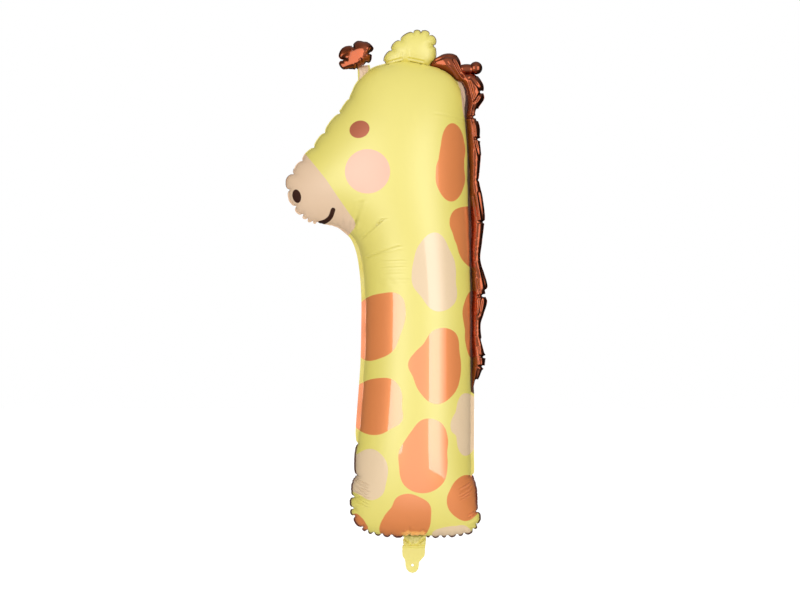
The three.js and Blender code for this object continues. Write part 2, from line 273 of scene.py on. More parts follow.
MANE_CREASES = (
    (434, 61.5, 446, 57.2, 1.6, 1.6), (446, 57.2, 457, 58.5, 1.4, 1.6), (453, 60, 463.5, 79, 2.0, 1.6),
    (446, 62, 459, 79, 0.9, 1.5), (468, 80, 471, 78, 1.6, 1.6), (471, 79, 481.5, 92, 1.8, 1.7),
    (469, 82, 474, 101, 1.2, 1.5), (481.5, 92, 474.5, 103, 1.8, 1.7), (474.5, 101, 472, 116, 1.2, 1.5),
    (466, 117.5, 477, 117, 2.4, 1.7), (472, 118, 474.5, 139, 1.2, 1.7), (482, 140, 474, 138.5, 2.3, 1.8),
    (474.5, 139, 478.5, 156, 1.3, 1.6), (478, 192, 482.5, 221, 1.2, 1.8),
    (484.5, 222, 477, 222.5, 1.6, 1.8), (473, 195, 477.5, 222, 1.0, 1.8),
    (481, 268, 486.5, 294, 1.2, 1.7), (487, 294.8, 477, 296.5, 2.4, 1.8),
    (476.5, 278, 479, 296, 1.0, 1.7), (482, 297, 479, 316, 1.0, 1.7), (481, 338, 486, 356, 1.2, 1.7),
    (487, 357, 479, 356, 2.2, 1.7), (487, 367.5, 478, 366, 2.2, 1.7), (477, 345, 480, 366, 1.0, 1.7),
    (478, 368, 475, 390, 1.0, 1.8),
)
MANE_FANS = (
    (473.5, 231, 478, 239, 9, 4.6), (474, 306, 478.5, 313, 8, 4.5), (474, 158, 477.5, 162, 5, 5.6),
)
NECK_CREASES = (
    (403.5, 537, 412, 546, 2.2, 1.7), (425, 537, 417, 545, 2.2, 1.7), (412, 537, 413.5, 543, 1.4, 1.5),
    (407, 536, 408.5, 545, 1.0, 1.3), (420, 536, 420, 544, 1.0, 1.3), (403, 544.5, 425, 545, 1.6, 1.2),
)

# Prints, as the pixel of the centre and the reach in pixels every 30 degrees, anticlockwise from +X.
# A reach past the balloon's edge carries the print round the side.
COPPER_PRINTS = (
    ((452, 165), (12.3, 14.5, 25, 41.8, 22.5, 15.2, 15.5, 18.8, 27.5, 36.5, 24, 14.5)),
    ((466, 232), (22, 26, 28, 25.5, 24.5, 19, 13.8, 13.6, 17.4, 32, 46, 30)),
    ((381, 328), (22, 28.5, 38, 34.5, 33, 30, 28, 28, 36, 30, 25.5, 21)),
    ((476, 326), (20, 22, 30, 38, 24.5, 15, 11.7, 12.7, 20.6, 36, 30, 22)),
    ((436, 364), (25, 27, 37, 34.8, 24, 24, 28, 26.5, 32.5, 40.2, 35, 27.8)),
    ((378, 407), (24, 27.5, 31, 28.8, 28.8, 30, 27, 30, 29.5, 27.8, 25.5, 27.8)),
    ((424, 452), (23.2, 27.5, 33.8, 32.8, 24.5, 22.2, 25.2, 28.8, 38.8, 41.2, 36.8, 27.2)),
    ((466, 498), (14, 18, 22, 23, 20.2, 18, 19, 20.5, 21.5, 23, 20, 16)),
    ((408, 517), (23, 25, 23, 23.2, 22.5, 19.2, 24.2, 32, 26, 22, 25, 24)),
    ((361, 524), (5, 4.5, 5, 7, 12, 12, 12, 12, 12, 10, 9, 8)),
)
CREAM_PRINTS = (
    ((436, 272), (20, 21.5, 26.5, 39.5, 32.5, 25.5, 24.2, 26.8, 29, 39.2, 36.5, 23)),
    ((464, 424), (13, 16, 26, 30.5, 15.8, 13.2, 13.5, 14.5, 15.2, 31.5, 24, 15)),
    ((371, 476), (16.5, 19.2, 23.2, 27.2, 26, 27, 24, 25, 22, 24.2, 22, 17)),
    ((452, 534), (20, 16, 9.5, 8, 8.5, 12, 20, 15, 10, 8, 10, 15)),
)
# Ovals, as the pixel of the centre, half width and half height in pixels, and tilt in degrees.
EYE = ((359.5, 129.3), 10.2, 8.6, 20)
CHEEK = ((367.5, 171.3), 22.6, 22.2, 0)
NOSTRIL = ((296.7, 196.2), 4.3, 6.9, 12)
# Right-hand edge of the muzzle's print, as pixel rows and columns.
MUZZLE_ROWS = (145, 154.5, 167.4, 179.8, 194.7, 205, 213, 219.6, 224, 228, 236, 246)
MUZZLE_COLUMNS = (297, 305.7, 316.4, 326.4, 336.3, 343.5, 349, 353.8, 355.5, 354.5, 348, 341)
# Left-hand edge of a painted reflection beside the top of the mane: a pale strip in the muzzle's ink.
REFLECTION_STRIP_ROWS = (60, 78, 81, 90, 100, 110, 117, 122, 126)
REFLECTION_STRIP_COLUMNS = (520, 470, 457.5, 460.5, 461.7, 462.6, 464, 467, 520)
SMILE = ((319.6, 223.4), (326, 221), (330.5, 216.8), (333.1, 209.8))
SMILE_HALF_WIDTH = 2.3
# A painted highlight down the middle of the horn's stalk, in the muzzle's ink: a rounded spot like the prints
# above.
STALK_HIGHLIGHT = ((363.5, 74), (4, 5, 9, 12, 9, 5, 4, 4.5, 9, 13, 8, 5))


class BalloonSizes(bpy.types.PropertyGroup):
    """Sizes of the foil and its welds, in the scene's metres."""

    foil_thick: bpy.props.FloatProperty(
        name="Weld thickness", description="Thickness of the two welded foils",
        default=0.45 * MM, subtype="DISTANCE")
    body_flange: bpy.props.FloatProperty(
        name="Body flange", description="Width of the weld flange round the body",
        default=BODY_FLANGE * MM, subtype="DISTANCE")
    small_flange: bpy.props.FloatProperty(
        name="Ear flange", description="Width of the weld flange round the ear",
        default=2.0 * MM, subtype="DISTANCE")
    mirror_flange: bpy.props.FloatProperty(
        name="Mirror flange", description="Width of the weld flange round the mane and the horn's knob",
        default=0.35 * MM, subtype="DISTANCE")
    tail_thick: bpy.props.FloatProperty(
        name="Tail thickness", description="Thickness of the filling tail",
        default=0.9 * MM, subtype="DISTANCE")
    hole_radius: bpy.props.FloatProperty(
        name="Ribbon hole", description="Radius of the hole in the tail",
        default=2.3 * MM, subtype="DISTANCE")
    body_rows: bpy.props.IntProperty(
        name="Body rows", description="Rows of the body's grid", default=480)
    body_columns: bpy.props.IntProperty(
        name="Body columns", description="Columns of the body's grid", default=96)


class BalloonColours(bpy.types.PropertyGroup):
    """Colours of the inks, the unprinted coloured foil, and the painted shade of the rims."""

    yellow: bpy.props.FloatVectorProperty(
        name="Yellow", description="Satin ink of the neck and head", subtype="COLOR", size=3,
        default=(0.8, 0.69, 0.108))
    # The muzzle's ink is also that of the painted reflection beside the mane's top and the painted highlight
    # down the horn's stalk.
    muzzle: bpy.props.FloatVectorProperty(
        name="Muzzle", description="Satin ink of the muzzle", subtype="COLOR", size=3,
        default=(0.76, 0.53, 0.34))
    cream: bpy.props.FloatVectorProperty(
        name="Cream", description="Pearly ink of the pale spots", subtype="COLOR", size=3,
        default=(0.8, 0.6, 0.38))
    copper: bpy.props.FloatVectorProperty(
        name="Copper", description="Clear ink of the metallic spots", subtype="COLOR", size=3,
        default=(0.98, 0.315, 0.095))
    cheek: bpy.props.FloatVectorProperty(
        name="Cheek", description="Clear ink of the cheek", subtype="COLOR", size=3,
        default=(0.96, 0.5, 0.36))
    eye: bpy.props.FloatVectorProperty(
        name="Eye", description="Ink of the eye", subtype="COLOR", size=3,
        default=(0.5, 0.12, 0.045))
    line: bpy.props.FloatVectorProperty(
        name="Line", description="Dark ink of the nostril and smile", subtype="COLOR", size=3,
        default=(0.05, 0.012, 0.004))
    # Painted shade: the colour that the ink is multiplied by where the gathered rims would lie in shade.
    rim: bpy.props.FloatVectorProperty(
        name="Rim", description="How the ink darkens at the gathered rims", subtype="COLOR", size=3,
        default=(0.1, 0.04, 0.03))
    brown_foil: bpy.props.FloatVectorProperty(
        name="Brown foil", description="Mirror-bright foil of the mane and horn", subtype="COLOR",
        size=3, default=(0.32, 0.062, 0.013))


# Curves and grids

TINY = 1e-9


def cubic_between(a, b, c, d, w):
    """The cubic between the middle two of four stations, at a share of the way: its slope at each is
    half the step between the stations on either side."""
    out, into = (c - a) / 2, (d - b) / 2
    cubic = (2 * b - 2 * c + out + into) * w**3 + (3 * c - 3 * b - 2 * out - into) * w**2
    return cubic + out * w + b


def spline(points, share):
    """Points of a smooth curve at shares of its stations, by the cubic between each two of them."""
    points = np.asarray(points, float)
    along = np.clip(share, 0, 1) * (len(points) - 1)
    n = np.minimum(along.astype(int), len(points) - 2)
    stations = (points[np.clip(n + k, 0, len(points) - 1)] for k in (-1, 0, 1, 2))
    return cubic_between(*stations, (along - n)[..., None])


def lengths(points):
    """Length along a line of points up to each point."""
    return np.concatenate([[0], np.cumsum(np.linalg.norm(np.diff(points, axis=0), axis=1))])


def spaced(points, share):
    """Points of a smooth curve at shares of its length."""
    steps = 400
    fine = np.linspace(0, 1, steps)
    line = spline(points, fine)
    run = lengths(line)
    return spline(points, np.interp(share, run / run[-1], fine))


def across_shares(columns):
    """Shares across a row: half a cosine wave, so the steps are even round an inflated tube."""
    return (1 - np.cos(np.pi * np.arange(columns + 1) / columns)) / 2


def ruled_grid(left, right, rows, columns, crowd=18, density=((0, 1), (1, 1))):
    """A flat grid of straight rows between two curves of matching stations. Rows are spaced by the
    curves' mean length times a density, that is looked up by height, and their steps shrink like a
    sine over the crowded rows at both ends."""
    fine_steps = 1200
    fine = np.linspace(0, 1, fine_steps)
    ends = spline(left, fine), spline(right, fine)
    run = (lengths(ends[0]) + lengths(ends[1])) / 2
    weight = np.interp((ends[0][:, 1] + ends[1][:, 1]) / 2, *zip(*density))
    run = np.concatenate([[0], np.cumsum(np.diff(run) * (weight[1:] + weight[:-1]) / 2)])
    k = np.arange(rows) + 0.5
    steps = np.sin(np.pi / 2 * np.clip(np.minimum(k, rows - k) / crowd, 0, 1))
    share = np.interp(np.concatenate([[0], np.cumsum(steps)]) / steps.sum(), run / run[-1], fine)
    a, b = spline(left, share)[:, None], spline(right, share)[:, None]
    return a + (b - a) * across_shares(columns)[None, :, None], share


def bend_end(grid, share, curve, top, reach):
    """Moves the rows near one end so that the last one lies on a curve. The move fades as a square."""
    u = across_shares(grid.shape[1] - 1)
    move = spaced(curve, u) - grid[-1 if top else 0]
    away = (1 - share if top else share) / reach
    return grid + np.clip(1 - away, 0, 1)[:, None, None] ** 2 * move[None]


def double_area(p, q, r):
    """Twice the area of flat triangles: the cross product of two sides."""
    e, f = q - p, r - p
    return np.abs(e[..., 0] * f[..., 1] - e[..., 1] * f[..., 0])


def cotangent(p, q, r):
    """Cotangent of the first corner of flat triangles: its sides' dot product over twice the area."""
    return ((q - p) * (r - p)).sum(-1) / np.maximum(double_area(p, q, r), TINY)


def membrane_height(grid, fullness):
    """Height of an inflated grid: the square root of twice the sag of an evenly pressed membrane that
    is welded along the grid's border. The sag solves the cotangent Laplace equation by conjugate
    gradients, so a long strip comes out with a round section."""
    most_steps, small_change, small = 1500, 1e-10, 1e-9
    a, b, c, d = grid[:-1, :-1], grid[:-1, 1:], grid[1:, 1:], grid[1:, :-1]
    level = np.zeros((grid.shape[0], grid.shape[1] - 1))
    upright = np.zeros((grid.shape[0] - 1, grid.shape[1]))
    upright[:, 1:] += cotangent(a, b, c) / 2
    upright[:, :-1] += cotangent(c, d, a) / 2
    level[:-1] += cotangent(c, a, b) / 2
    level[1:] += cotangent(a, c, d) / 2
    slant = (cotangent(b, c, a) + cotangent(d, a, c)) / 2
    size = np.zeros(grid.shape[:2])
    for tri, corners in (((a, b, c), ((0, 0), (0, 1), (1, 1))), ((a, c, d), ((0, 0), (1, 1), (1, 0)))):
        third = double_area(*tri) / 6
        for j, i in corners:
            size[j:grid.shape[0] - 1 + j, i:grid.shape[1] - 1 + i] += third
    inside = np.zeros(grid.shape[:2])
    inside[1:-1, 1:-1] = 1

    def pull(x):
        """How hard each inner point is pulled by its neighbours: their differences times the weights."""
        out = np.zeros_like(x)
        step = level * (x[:, :-1] - x[:, 1:])
        out[:, :-1] += step
        out[:, 1:] -= step
        step = upright * (x[:-1] - x[1:])
        out[:-1] += step
        out[1:] -= step
        step = slant * (x[:-1, :-1] - x[1:, 1:])
        out[:-1, :-1] += step
        out[1:, 1:] -= step
        return out * inside

    total = np.zeros_like(inside)
    total[:, :-1] += level
    total[:, 1:] += level
    total[:-1] += upright
    total[1:] += upright
    total[:-1, :-1] += slant
    total[1:, 1:] += slant
    ease = inside / np.maximum(total, TINY)
    sag, left = np.zeros_like(inside), size * inside
    eased = ease * left
    way, strength = eased.copy(), (left * eased).sum()
    for _ in range(most_steps):
        drawn = pull(way)
        step = strength / (way * drawn).sum()
        sag += step * way
        left -= step * drawn
        eased = ease * left
        new = (left * eased).sum()
        if new < small_change * strength:
            break
        way, strength = eased + new / strength * way, new
        if new < small:
            break
    return fullness * np.sqrt(2 * np.maximum(sag, 0))


def border(rows, columns):
    """Indices of a grid's border points, anticlockwise from the front, for a grid whose rows run to
    the right and whose columns run up."""
    width = columns + 1
    return np.concatenate([
        np.arange(columns),
        np.arange(rows) * width + columns,
        rows * width + np.arange(columns, 0, -1),
        np.arange(rows, 0, -1) * width,
    ])


def nearest_on(points, loop):
    """For each flat point, the index of the nearest point of a loop and the distance to it, a few
    thousand points at a time."""
    at_a_time = 4000
    flat = points.reshape(-1, 2)
    found, away = [], []
    for part in np.array_split(flat, max(1, len(flat) // at_a_time)):
        gap = ((part[:, None] - loop[None]) ** 2).sum(-1)
        n = gap.argmin(1)
        found.append(n)
        away.append(np.sqrt(gap[np.arange(len(part)), n]))
    return (np.concatenate(found).reshape(points.shape[:-1]),
            np.concatenate(away).reshape(points.shape[:-1]))


def softened(values, passes):
    """Evens out a grid of values: each inner one moves halfway to the mean of its four neighbours."""
    for _ in range(passes):
        mean = (values[1:-1, :-2] + values[1:-1, 2:] + values[:-2, 1:-1] + values[2:, 1:-1]) / 4
        values[1:-1, 1:-1] += (mean - values[1:-1, 1:-1]) / 2
    return values


def face_normals(solid):
    """Outward directions of a grid of points in space, whose front faces -Y."""
    n = np.cross(np.gradient(solid, axis=1), np.gradient(solid, axis=0))
    return n / np.maximum(np.linalg.norm(n, axis=-1, keepdims=True), TINY)


# Nips, lobes and creases


class Weld:
    """The weld line of a flat grid, and where every grid point lies along it and away from it."""

    def __init__(self, grid, run=None):
        """Follows the grid's border. Lengths along it may be those of an earlier form of the grid. The
        way out is a quarter turn from the heading between points on either side."""
        either_side = 3
        self.index = border(*np.subtract(grid.shape[:2], 1))
        self.line = grid.reshape(-1, 2)[self.index]
        self.run = lengths(np.vstack([self.line, self.line[:1]])) if run is None else run
        self.near, self.away = nearest_on(grid, self.line)
        along = np.roll(self.line, -either_side, 0) - np.roll(self.line, either_side, 0)
        out = np.stack([along[:, 1], -along[:, 0]], 1)
        self.out = out / np.maximum(np.linalg.norm(out, axis=1, keepdims=True), TINY)

    def gap(self, nips, s):
        """The share of points along the line into the gap between two nips, the gap's length, and
        which gap it is."""
        places, shortest = nips[0], 1e-3
        wrapped = np.concatenate([[places[-1] - self.run[-1]], places, [places[0] + self.run[-1]]])
        n = np.clip(np.searchsorted(wrapped, s) - 1, 0, len(wrapped) - 2)
        gap = np.maximum(wrapped[n + 1] - wrapped[n], shortest)
        return np.clip((s - wrapped[n]) / gap, 0, 1), gap, n


def nips_along(weld, gather, named, spacing_mm, rng):
    """Where the edge is nipped in: the named places first, then others at uneven steps wherever there
    is room. Each has a depth, that follows how gathered the edge is, and a reach inwards."""
    uneven, room = (0.6, 1.45), 0.62
    depths, named_depths, reaches = (0.5, 1.0), (0.85, 1.0), (0.6, 1.4)
    around = weld.run[-1]
    points = np.array([place(*p) for p in named]).reshape(-1, 2)
    at = np.array([weld.run[((weld.line - p) ** 2).sum(1).argmin()] for p in points])
    filled = np.cumsum(spacing_mm * rng.uniform(*uneven, int(around / spacing_mm) + 2))
    filled = filled[filled < around - spacing_mm / 2]
    if len(at):
        gap = np.abs(filled[:, None] - at[None])
        filled = filled[np.minimum(gap, around - gap).min(1) > room * spacing_mm]
    places = np.concatenate([at, filled])
    depth = np.interp(places, weld.run[:-1], gather, period=around) * rng.uniform(*depths, len(places))
    depth[: len(at)] = rng.uniform(*named_depths, len(at))
    reach = rng.uniform(*reaches, len(places))
    order = np.argsort(places)
    return places[order], depth[order], reach[order]


def scalloped(grid, weld, nips, gather, swell_mm, reach_mm):
    """Lets the edge swell outwards, but less near the nips, where a sine to the power 0.6 draws it
    in, and more so the longer the gap is. The swelling fades inwards as exp of minus the squared
    distance."""
    roundness, most_drawn, usual_gap, least, most = 0.6, 0.5, 16, 0.4, 1.3
    into, gap, _ = weld.gap(nips, weld.run[weld.near])
    lobe = np.sin(np.pi * into).clip(0) ** roundness
    drawn = most_drawn * gather[weld.near] * (1 - lobe) * np.clip(gap / usual_gap, least, most)
    size = swell_mm[weld.near] * (1 - drawn)
    fade = np.exp(-((weld.away / reach_mm) ** 2))
    return grid + softened(weld.out[weld.near] * (size * fade)[..., None], passes=30)


def nip_field(weld, nips, gather, depth_mm, reach_mm, sharp_mm, bulge_mm):
    """How far a gathered edge's foil moves in or out. Each nip is a sharp valley, exp of minus the
    distance along the edge, that widens inwards and fades as exp of minus the distance from the weld
    to the power 1.2, and the lobe between two nips swells like a sine."""
    fading, widening, usual_gap, most, lobe_reach = 1.2, 0.1, 12, 1.3, 0.8
    _, depth, reach = nips
    into, gap, n = weld.gap(nips, weld.run[weld.near])
    deep = np.concatenate([[depth[-1]], depth, [depth[0]]])
    far = np.concatenate([[reach[-1]], reach, [reach[0]]])
    valley = 0
    for k, off in ((n, into * gap), (n + 1, (1 - into) * gap)):
        fade = np.exp(-((weld.away / (reach_mm * far[k])) ** fading))
        valley = valley + deep[k] * np.exp(-off / (sharp_mm * (1 + widening * weld.away))) * fade
    lobe = np.sin(np.pi * into) * np.minimum(gap / usual_gap, most)
    swell = gather[weld.near] * lobe * np.exp(-((weld.away / (lobe_reach * reach_mm)) ** fading))
    return softened(bulge_mm * swell - depth_mm * valley, passes=4)


def crease_field(points, creases):
    """Creases along short lines: each is a valley, exp of minus the square of the distance over the
    width, between two low ridges, and tapers at both ends."""
    taper, ridge_height, ridge_away = 2.2, 0.45, 1.9
    out = np.zeros(points.shape[:-1])
    for px0, py0, px1, py1, depth, width in creases:
        a = np.array(place(px0, py0))
        along = np.array(place(px1, py1)) - a
        size = np.hypot(*along)
        t = ((points - a) @ along) / size**2
        off = ((points - a) @ np.array((-along[1], along[0]))) / size
        end = np.clip(np.minimum(t, 1 - t) * size / (taper * width) + 0.5, 0, 1)
        ridge = ridge_height * np.exp(-(((np.abs(off) - ridge_away * width) / width) ** 2))
        out += depth * end**2 * (ridge - np.exp(-((off / width) ** 2)))
    return out


def fan_creases(fans, depth, width):
    """Fine wrinkles beside each other: each fan's line, repeated with steps down the picture that a
    sine makes uneven, and with the inner ends a little further apart."""
    unevenness, turn, spread = 0.35, 2.4, 1.05
    lines = []
    for px0, py0, px1, py1, count, step in fans:
        for k in range(count):
            drop, uneven = step * k, unevenness * step * math.sin(turn * k + px0)
            lines.append((px0, py0 + drop + uneven, px1 + uneven, py1 + spread * drop, depth, width))
    return lines


def ripples(x, z, rng, depth, waves, longest, shortest):
    """Slow unevenness of stretched foil: a sum of plane waves of falling length and depth, and random
    heading."""
    out = np.zeros(np.shape(x))
    for wave in np.geomspace(longest, shortest, waves):
        heading, start = rng.uniform(0, 2 * np.pi, 2)
        out += wave / longest * np.sin((x * np.cos(heading) + z * np.sin(heading)) * 2 * np.pi / wave + start)
    return depth * out


# Prints, as how far inside its edge a point is, in millimetres

# Values of a print that isn't there at all, and of the muzzle's print below its lower end.
NO_PRINT = -50.0
BELOW_MUZZLE = -20


def blob(x, z, pixel, reaches):
    """Distance inside a rounded spot: its reach at the point's angle, by a smooth closed curve through
    the reaches at even angles, less the distance from the centre, times the edge's usual slant."""
    slant = 0.92
    cx, cz = place(*pixel)
    dx, dz = x - cx, z - cz
    turn = np.mod(np.arctan2(dz, dx) / (2 * np.pi), 1) * len(reaches)
    r = np.array(reaches, float) * PIXEL
    n = turn.astype(int) % len(r)
    edge = cubic_between(*(r[(n + k) % len(r)] for k in (-1, 0, 1, 2)), turn - np.floor(turn))
    return (edge - np.hypot(dx, dz)) * slant


def oval(x, z, pixel, wide, tall, tilt):
    """Distance inside a tilted oval: one less the distance in half axes, times the shorter one."""
    cx, cz = place(*pixel)
    t = math.radians(tilt)
    u = ((x - cx) * math.cos(t) + (z - cz) * math.sin(t)) / (wide * PIXEL)
    v = ((z - cz) * math.cos(t) - (x - cx) * math.sin(t)) / (tall * PIXEL)
    return (1 - np.hypot(u, v)) * min(wide, tall) * PIXEL


def stroke(x, z, pixels, half_width):
    """Distance inside a round-ended line through points: half its width less the distance to it."""
    stations, far = 24, 1e9
    line = spline([place(*p) for p in pixels], np.linspace(0, 1, stations))
    best = np.full(np.shape(x), far)
    for a, b in zip(line[:-1], line[1:]):
        along = b - a
        t = np.clip(((x - a[0]) * along[0] + (z - a[1]) * along[1]) / (along @ along), 0, 1)
        best = np.minimum(best, np.hypot(x - a[0] - t * along[0], z - a[1] - t * along[1]))
    return half_width * PIXEL - best


def body_prints(x, z):
    """Every print of the neck and head. The muzzle's is left of its edge, times that edge's slant, and
    takes in a painted reflection: the pale strip at the top of the right edge."""
    slant = 0.75
    rows = [place(0, py)[1] for py in MUZZLE_ROWS][::-1]
    columns = [place(px, 0)[0] for px in MUZZLE_COLUMNS][::-1]
    copper = np.max([blob(x, z, *print_) for print_ in COPPER_PRINTS], axis=0)
    cream = np.max([blob(x, z, *print_) for print_ in CREAM_PRINTS], axis=0)
    muzzle = np.where(z > rows[0], (np.interp(z, rows, columns) - x) * slant, BELOW_MUZZLE)
    # The painted reflection beside the mane's top, a pale strip in the muzzle's ink.
    rows = [place(0, py)[1] for py in REFLECTION_STRIP_ROWS][::-1]
    columns = [place(px, 0)[0] for px in REFLECTION_STRIP_COLUMNS][::-1]
    muzzle = np.maximum(muzzle, x - np.interp(z, rows, columns))
    line = np.maximum(oval(x, z, *NOSTRIL), stroke(x, z, SMILE, SMILE_HALF_WIDTH))
    return {
        "copper": copper, "cream": cream, "muzzle": muzzle, "cheek": oval(x, z, *CHEEK),
        "eye": oval(x, z, *EYE), "line": line,
    }


def stalk_highlight_print(x, z):
    """A painted highlight down the middle of the horn's stalk: one rounded spot of the muzzle's pale ink."""
    return {"muzzle": blob(x, z, *STALK_HIGHLIGHT)}


# The last of these, the rim, is painted shade along the welds rather than a print.
PRINTS = ("muzzle", "cream", "copper", "cheek", "eye", "line", "rim")


# Meshes

# Edges between faces that meet at more than this many degrees are drawn sharp.
SMOOTH_BELOW = 55
# How far out the two strips of a flange reach.
FLANGE_SHARES = (0.5, 1.0)


def new_object(name, points_mm, faces, material, prints=None, rim=None):
    """Makes a mesh object from points in millimetres and faces. Each print is stored as a number at
    every point, which the material turns into a crisp edge where it passes nought."""
    mesh = bpy.data.meshes.new(name)
    mesh.from_pydata((points_mm * MM).tolist(), [], np.asarray(faces, dtype=object).tolist())
    mesh.shade_smooth()
    mesh.set_sharp_from_angle(angle=math.radians(SMOOTH_BELOW))
    found = prints(*seen_flat(points_mm)) if prints else {}
    if rim is not None:
        found["rim"] = rim
    for kind in PRINTS:
        store = mesh.attributes.new(kind, "FLOAT", "POINT")
        value = found.get(kind, np.full(len(points_mm), NO_PRINT))
        store.data.foreach_set("value", np.ascontiguousarray(value, dtype=np.float32))
    mesh.materials.append(material)
    mesh.update()
    made = bpy.data.objects.new(name, mesh)
    bpy.context.scene.collection.objects.link(made)
    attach(made, "root")
    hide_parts(ENVELOPE)


def band(a, b):
    """Faces between two closed rings of point numbers, one to each step round them."""
    return np.stack([a, b, np.roll(b, -1), np.roll(a, -1)], 1)


def chamber(name, grid, height, move, weld, width_mm, thick_mm, material, rng, prints=None,
            rim_shade_start=None, wave_mm=0.0, soften=1):
    """Makes a closed chamber: the grid raised by its height in front and mirrored behind, moved along
    its own directions, with a flange of two strips round its border. Ripples along the edge wave the
    flange, the same way on both sides. The rims' painted shade starts at a distance beyond the weld."""
    rows, columns = grid.shape[0] - 1, grid.shape[1] - 1
    solid = np.stack([grid[..., 0], -height, grid[..., 1]], -1)
    front = softened(solid + face_normals(solid) * move[..., None], soften).reshape(-1, 3)
    loop = weld.index
    front[loop, 1] = 0
    front[:, 1] = np.minimum(front[:, 1], 0) - thick_mm / 2
    seam = front[loop][:, (0, 2)]
    run = lengths(seam)
    wave = ripples(run, run * 0, rng, depth=wave_mm, waves=6, longest=60, shortest=9)
    rings = []
    for share in FLANGE_SHARES:
        at = seam + weld.out * (width_mm * share)[:, None]
        rings.append(np.stack([at[:, 0], wave * share - thick_mm / 2, at[:, 1]], 1))
    side = np.concatenate([front, *rings])
    shift = np.concatenate([np.zeros(len(front)), *(2 * share * wave for share in FLANGE_SHARES)])
    back = side * (1, -1, 1) + shift[:, None] * (0, 1, 0)
    cells = (np.arange(rows)[:, None] * (columns + 1) + np.arange(columns)).ravel()
    panel = np.stack([cells, cells + 1, cells + columns + 2, cells + columns + 1], 1)
    middle, outer = (len(front) + len(loop) * k + np.arange(len(loop)) for k in (0, 1))
    one_side = np.concatenate([panel, band(loop, middle), band(middle, outer)])
    faces = np.concatenate([one_side, one_side[:, ::-1] + len(side), band(outer, outer + len(side))])
    rim = None
    # The rim's painted shade: how far past its start each point lies, over the chamber and out on both flange
    # strips.
    if rim_shade_start is not None:
        inside = -weld.away - rim_shade_start[weld.near]
        strips = [width_mm * share - rim_shade_start for share in FLANGE_SHARES]
        rim = np.tile(np.concatenate([inside.ravel(), *strips]), 2)
    new_object(name, np.concatenate([side, back]), faces, material, prints, rim)


def ball(name, centre, radii, material):
    """Makes a closed ball, stretched along the axes: sines and cosines of the turn round Z and the
    tilt from it."""
    around, rows = 64, 40
    turn = 2 * np.pi * np.arange(around) / around
    tilt = np.pi * np.arange(1, rows)[:, None] / rows
    skin = np.stack([np.sin(tilt) * np.cos(turn), np.sin(tilt) * np.sin(turn),
                     np.cos(tilt) * np.ones(around)], -1).reshape(-1, 3)
    points = np.concatenate([skin, [(0, 0, 1), (0, 0, -1)]]) * radii + (centre[0], 0, centre[1])
    ring = np.arange(around)
    after = np.roll(ring, -1)
    quads = [band(around * k + ring, around * (k + 1) + ring) for k in range(rows - 2)]
    top, bottom, last = len(skin), len(skin) + 1, around * (rows - 2)
    caps = [np.stack([np.full(around, top), ring, after], 1),
            np.stack([np.full(around, bottom), last + after, last + ring], 1)]
    new_object(name, points, np.concatenate(quads).tolist() + np.concatenate(caps).tolist(), material)


def tail_tab(thick, hole_radius, rng):
    """Makes the tail's flat tab: even rings of points from the round hole out to the outline, moved in
    and out by a sine across and by ripples, with a wall round the outline and one through the hole."""
    around, rings = 180, 24
    outline = np.array(TAB_OUTLINE)
    run = lengths(outline)
    even = np.linspace(0, run[-1], around + 1)[:-1]
    edge = np.stack([np.interp(even, run, outline[:, k]) for k in (0, 1)], 1)
    angle = np.arctan2(edge[:, 1], edge[:, 0])
    hole = hole_radius * np.stack([np.cos(angle), np.sin(angle)], 1)
    share = np.linspace(0, 1, rings + 1)[:, None, None]
    flat = hole[None] + (edge - hole)[None] * share
    x, z = flat[..., 0], flat[..., 1]
    wave = TAB_WAVE * np.sin(x / TAB_WAVE_WIDTH)
    wave = wave + ripples(x, z, rng, depth=0.25, waves=5, longest=30, shortest=9)
    low, high = TAB_WAVY
    wave *= np.clip((high - z) / (high - low), 0, 1)
    front = np.stack([x, wave - thick / 2, z], -1).reshape(-1, 3)
    points = np.concatenate([front, front + (0, thick, 0)])
    inner = np.arange(around)
    outer = rings * around + inner
    one_side = np.concatenate([band(k * around + inner, (k + 1) * around + inner) for k in range(rings)])
    walls = band(outer, outer + len(front)), band(inner, inner + len(front))[:, ::-1]
    faces = np.concatenate([one_side, one_side[:, ::-1] + len(front), *walls])
    new_object("filling_tail", points, faces, material_named(PRINTED))


# Materials

PRINTED = "printed foil"
MIRROR = "brown mirror foil"
# The prints' masks turn from none to full between these distances inside an edge, in millimetres.
MASK_EDGE = (-0.1, 0.1)


def material_named(name):
    """One of the two foils that the materials' operator has made."""
    return bpy.data.materials[name]


def new_material(name):
    """A material of nodes, with its nodes, its links and its shader."""
    material = bpy.data.materials.new(name)
    material.use_nodes = True
    nodes, links = material.node_tree.nodes, material.node_tree.links
    return material, nodes, links, nodes["Principled BSDF"]


def foil_bump(nodes, links, shader, fineness, strength):
    """Very small unevenness of the film: stretched noise in the object's own coordinates."""
    where = nodes.new("ShaderNodeTexCoord")
    turn = nodes.new("ShaderNodeMapping")
    turn.inputs["Scale"].default_value = (1.0, 1.0, 0.35)
    noise = nodes.new("ShaderNodeTexNoise")
    noise.inputs["Scale"].default_value = fineness
    noise.inputs["Detail"].default_value = 3
    bump = nodes.new("ShaderNodeBump")
    bump.inputs["Strength"].default_value = strength
    bump.inputs["Distance"].default_value = 0.4 * MM
    links.new(where.outputs["Object"], turn.inputs["Vector"])
    links.new(turn.outputs["Vector"], noise.inputs["Vector"])
    links.new(noise.outputs["Fac"], bump.inputs["Height"])
    links.new(bump.outputs["Normal"], shader.inputs["Normal"])
    return noise


